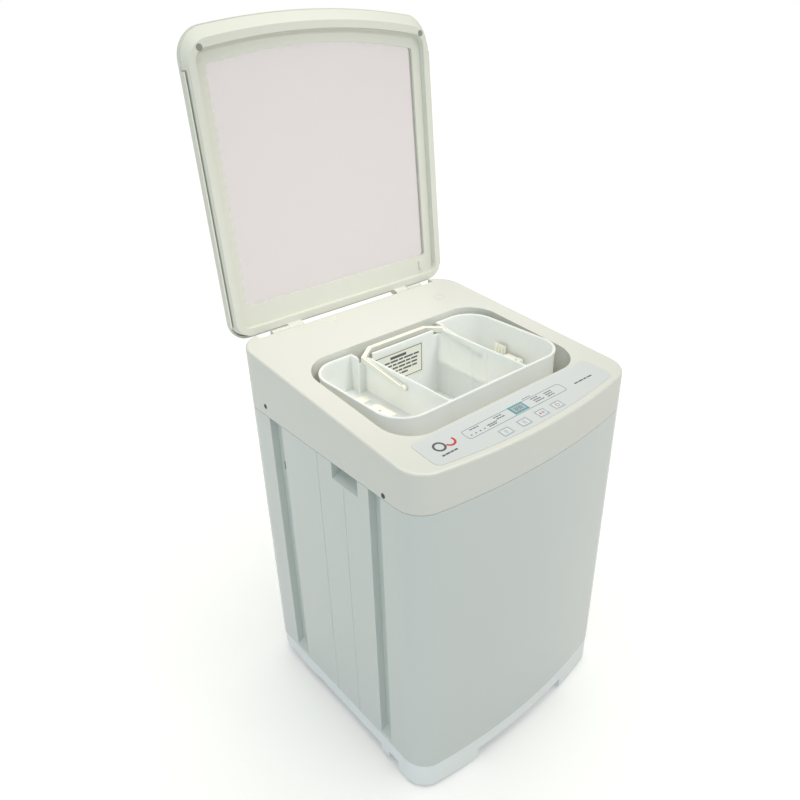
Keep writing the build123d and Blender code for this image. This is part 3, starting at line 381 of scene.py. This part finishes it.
powerSign = {"radius": 0.0027, "line": 0.0006, "start": 125, "sweep": 290, "stem": (0.0024, 0.0032)}
playSign = {"arrow": (-0.0028, 0.0023), "bars": (0.0013, 0.0034), "bar": (0.0009, 0.0042)}
strokeSign = {"rows": ((0.0021, (2.0, 3.0)), (-0.0003, (3.0, 2.2)), (-0.0027, (2.2, 1.6))), "gap": 0.0005,
              "depth": 0.0010}


def buildKeyPrint():
    halfX, halfY = keyPrint["half"]
    for name, (x, finish) in keyBoxes.items():
        y = keyPrint["y"]
        bm = bmesh.new()
        addOutline(bm, x - halfX, x + halfX, y - halfY, y + halfY, keyPrint["corner"], keyPrint["lift"],
                   keyPrint["line"])
        newPiece(name + "Frame", closeMesh(bm, name + "Frame"), "printTeal", name)
        bm = bmesh.new()
        place = deckPlace(x, y, keyPrint["lift"])
        if name == "power_key":
            start, sweep = math.radians(powerSign["start"]), math.radians(powerSign["sweep"])
            stemY, stemLength = powerSign["stem"]
            addRing(bm, place, 0, 0, powerSign["radius"], powerSign["line"], ink["thick"], start, sweep, 24)
            addBar(bm, place, 0, stemY, powerSign["line"], stemLength, ink["thick"])
        elif name == "start_pause_key":
            arrowX, arrowRadius = playSign["arrow"]
            addDisc(bm, place, arrowX, 0, arrowRadius, ink["thick"], 3)
            for barX in playSign["bars"]:
                addBar(bm, place, barX, 0, *playSign["bar"], ink["thick"])
        else:
            for row, lengths in strokeSign["rows"]:
                start = -sum(lengths) / 2000
                for length in lengths:
                    width = length / 1000 - strokeSign["gap"]
                    addBar(bm, place, start + length / 2000, row, width, strokeSign["depth"], ink["thick"])
                    start += length / 1000
        newPiece(name + "Sign", closeMesh(bm, name + "Sign"), finish, name)


display = {"centre": (-0.0035, -0.180035), "lift": 0.0008, "glass": (0.0098, 0.0050),
           "glassThick": 0.0003, "bevel": 0.0001}
digit = {"places": (-0.0050, 0.0, 0.0050), "level": (0.0026, 0.0007), "upright": (0.0007, 0.0024),
         "reach": (0.0016, 0.0030), "lift": 0.00031, "thick": 0.00008}


def buildDisplay():
    x, y = display["centre"]
    glassX, glassY = display["glass"]
    place = deckPlace(x, y, display["lift"])
    bm = bmesh.new()
    made = addBar(bm, place, 0, 0, glassX * 2, glassY * 2, display["glassThick"])
    edges = {e for v in made for e in v.link_edges}
    bmesh.ops.bevel(bm, geom=list(edges), offset=display["bevel"], segments=1, affect="EDGES",
                    profile=0.5, material=-1)
    newPiece("displayPane", closeMesh(bm, "displayPane"), "printPale", "body")
    # the seven strokes of a digit: across, up, and whether the stroke is level
    segments = ((0, 1, True), (0, 0, True), (0, -1, True),
                (-1, 0.5, False), (1, 0.5, False), (-1, -0.5, False), (1, -0.5, False))
    bm = bmesh.new()
    upper = deckPlace(x, y, display["lift"] + digit["lift"])
    reachX, reachY = digit["reach"]
    for centre in digit["places"]:
        for dx, dy, level in segments:
            width, depth = digit["level"] if level else digit["upright"]
            addBar(bm, upper, centre + dx * reachX, dy * reachY, width, depth, digit["thick"])
    newPiece("displayDigits", closeMesh(bm, "displayDigits"), "printInk", "body")


label = {"x": (-0.060, 0.036), "z": (0.517, 0.567), "face": 0.0571 - 0.013735,
         "border": 0.0030, "line": 0.0011, "heading": (0.030, 0.0042), "headingDrop": 0.0065,
         "rowDrop": 0.0125, "rowGap": 0.0058, "wordGap": 1.8, "wordHeight": 0.0027,
         "rows": ((12, 9, 14, 8, 17, 10), (9, 13, 7, 15, 8, 12), (14, 7, 10, 12, 9, 11),
                  (8, 12, 10, 7, 16, 9), (10, 9, 12))}


def buildLabelPrint():
    x0, x1 = label["x"]
    z0, z1 = label["z"]
    # the label's face looks forwards, so its own up is +Z
    middle = Matrix.Translation(((x0 + x1) / 2, label["face"], (z0 + z1) / 2))
    place = middle @ Matrix.Rotation(math.pi / 2, 4, "X")
    halfX = (x1 - x0) / 2 - label["border"]
    halfZ = (z1 - z0) / 2 - label["border"]
    bm = bmesh.new()
    for side in (-1, 1):
        addBar(bm, place, 0, side * halfZ, halfX * 2 + label["line"], label["line"], ink["thick"])
        addBar(bm, place, side * halfX, 0, label["line"], halfZ * 2, ink["thick"])
    addBar(bm, place, 0.0, halfZ - label["headingDrop"], *label["heading"], ink["thick"])
    for number, lengths in enumerate(label["rows"]):
        total = sum(lengths) + label["wordGap"] * (len(lengths) - 1)
        x = -total / 2
        for length in lengths:
            drop = halfZ - label["rowDrop"] - label["rowGap"] * number
            addBar(bm, place, (x + length / 2) / 1000, drop, length / 1000, label["wordHeight"],
                   ink["thick"])
            x += length + label["wordGap"]
    newPiece("labelMarks", closeMesh(bm, "labelMarks"), "printInk", "transit_basket")


buildPanelPrint()
buildKeyPrint()
buildDisplay()
buildLabelPrint()
print("printed marks laid on the panel, keys, display and label")


# Camera, light and floor

camera = {"place": (-0.613966, -0.688425, 1.0193), "turn": (1.069218, 0.020085, -0.711296),
          "lens": 32.502, "shift": (-0.0086, -0.0119)}
cameraData = bpy.data.cameras.new("camera")
cameraData.sensor_width = 36
cameraData.lens = camera["lens"]
cameraData.shift_x, cameraData.shift_y = camera["shift"]
cameraData.clip_start = 0.01
cameraObject = bpy.data.objects.new("camera", cameraData)
cameraObject.location = camera["place"]
cameraObject.rotation_euler = camera["turn"]
bpy.context.scene.collection.objects.link(cameraObject)
bpy.context.scene.camera = cameraObject

lamps = {
    "topLamp": {"from": (0.10, -0.05, 1.0), "spread": 70, "power": 2.0, "tint": (1.0, 0.965, 0.885)},
    "sideLamp": {"from": (-1.0, -0.50, 0.10), "spread": 50, "power": 0.50, "tint": (0.50, 0.85, 1.0)},
}
for name, lamp in lamps.items():
    data = bpy.data.lights.new(name, "SUN")
    data.angle = math.radians(lamp["spread"])
    data.energy = lamp["power"]
    data.color = lamp["tint"]
    lampObject = bpy.data.objects.new(name, data)
    lampObject.location = Vector(lamp["from"]) * 3
    lampObject.rotation_euler = Vector(lamp["from"]).to_track_quat("Z", "Y").to_euler()
    bpy.context.scene.collection.objects.link(lampObject)

softBox = {"place": (0.35, -0.95, 1.75), "aim": (0.0, 0.12, 0.72), "size": 0.35, "spread": 32,
           "power": 0.38, "tint": (1.0, 0.98, 0.95)}
boxData = bpy.data.lights.new("softBox", "AREA")
boxData.shape = "SQUARE"
boxData.size = softBox["size"]
boxData.spread = math.radians(softBox["spread"])
boxData.energy = softBox["power"]
boxData.color = softBox["tint"]
boxObject = bpy.data.objects.new("softBox", boxData)
boxObject.location = softBox["place"]
boxLook = Vector(softBox["place"]) - Vector(softBox["aim"])
boxObject.rotation_euler = boxLook.to_track_quat("Z", "Y").to_euler()
bpy.context.scene.collection.objects.link(boxObject)

studio = {"seen": 1.0, "light": 0.37, "tint": (0.94, 0.995, 1.0)}
world = bpy.data.worlds.new("studio")
world.use_nodes = True
sky = world.node_tree
path = sky.nodes.new("ShaderNodeLightPath")
seen = sky.nodes.new("ShaderNodeBackground")
seen.inputs["Color"].default_value = (1, 1, 1, 1)
seen.inputs["Strength"].default_value = studio["seen"]
light = sky.nodes["Background"]
light.inputs["Color"].default_value = (*studio["tint"], 1)
light.inputs["Strength"].default_value = studio["light"]
join = sky.nodes.new("ShaderNodeMixShader")
straight = sky.nodes.new("ShaderNodeMath")  # what the camera sees, also through the clear window
straight.operation = "MAXIMUM"
sky.links.new(path.outputs["Is Camera Ray"], straight.inputs[0])
sky.links.new(path.outputs["Is Transmission Ray"], straight.inputs[1])
sky.links.new(straight.outputs[0], join.inputs[0])
sky.links.new(light.outputs[0], join.inputs[1])
sky.links.new(seen.outputs[0], join.inputs[2])
sky.links.new(join.outputs[0], sky.nodes["World Output"].inputs[0])
bpy.context.scene.world = world
bpy.context.scene.view_settings.view_transform = "Standard"

floorData = {"size": 60, "seen": 1.0, "bounce": 0.74, "lift": 0.10}
bm = bmesh.new()
bmesh.ops.create_grid(bm, x_segments=1, y_segments=1, size=floorData["size"] / 2)
floorMesh = bpy.data.meshes.new("floor")
bm.to_mesh(floorMesh)
bm.free()
floorMaterial = bpy.data.materials.new("floorPale")
floorMaterial.use_nodes = True
floorShader = floorMaterial.node_tree.nodes["Principled BSDF"]
floorPath = floorMaterial.node_tree.nodes.new("ShaderNodeLightPath")
floorTone = floorMaterial.node_tree.nodes.new("ShaderNodeMix")  # keeps the floor's bounce low
floorTone.data_type = "RGBA"
floorTone.inputs["A"].default_value = (floorData["bounce"],) * 3 + (1,)
floorTone.inputs["B"].default_value = (floorData["seen"],) * 3 + (1,)
floorStraight = floorMaterial.node_tree.nodes.new("ShaderNodeMath")
floorStraight.operation = "MAXIMUM"
floorMaterial.node_tree.links.new(floorPath.outputs["Is Camera Ray"], floorStraight.inputs[0])
floorMaterial.node_tree.links.new(floorPath.outputs["Is Transmission Ray"], floorStraight.inputs[1])
floorMaterial.node_tree.links.new(floorStraight.outputs[0], floorTone.inputs["Factor"])
floorMaterial.node_tree.links.new(floorTone.outputs["Result"], floorShader.inputs["Base Color"])
floorShader.inputs["Emission Color"].default_value = (1, 1, 1, 1)
floorShader.inputs["Emission Strength"].default_value = floorData["lift"]
floorShader.inputs["Roughness"].default_value = 0.8
floorMesh.materials.append(floorMaterial)
floor = bpy.data.objects.new("floor", floorMesh)
bpy.context.scene.collection.objects.link(floor)
print("camera, lamps and floor placed")
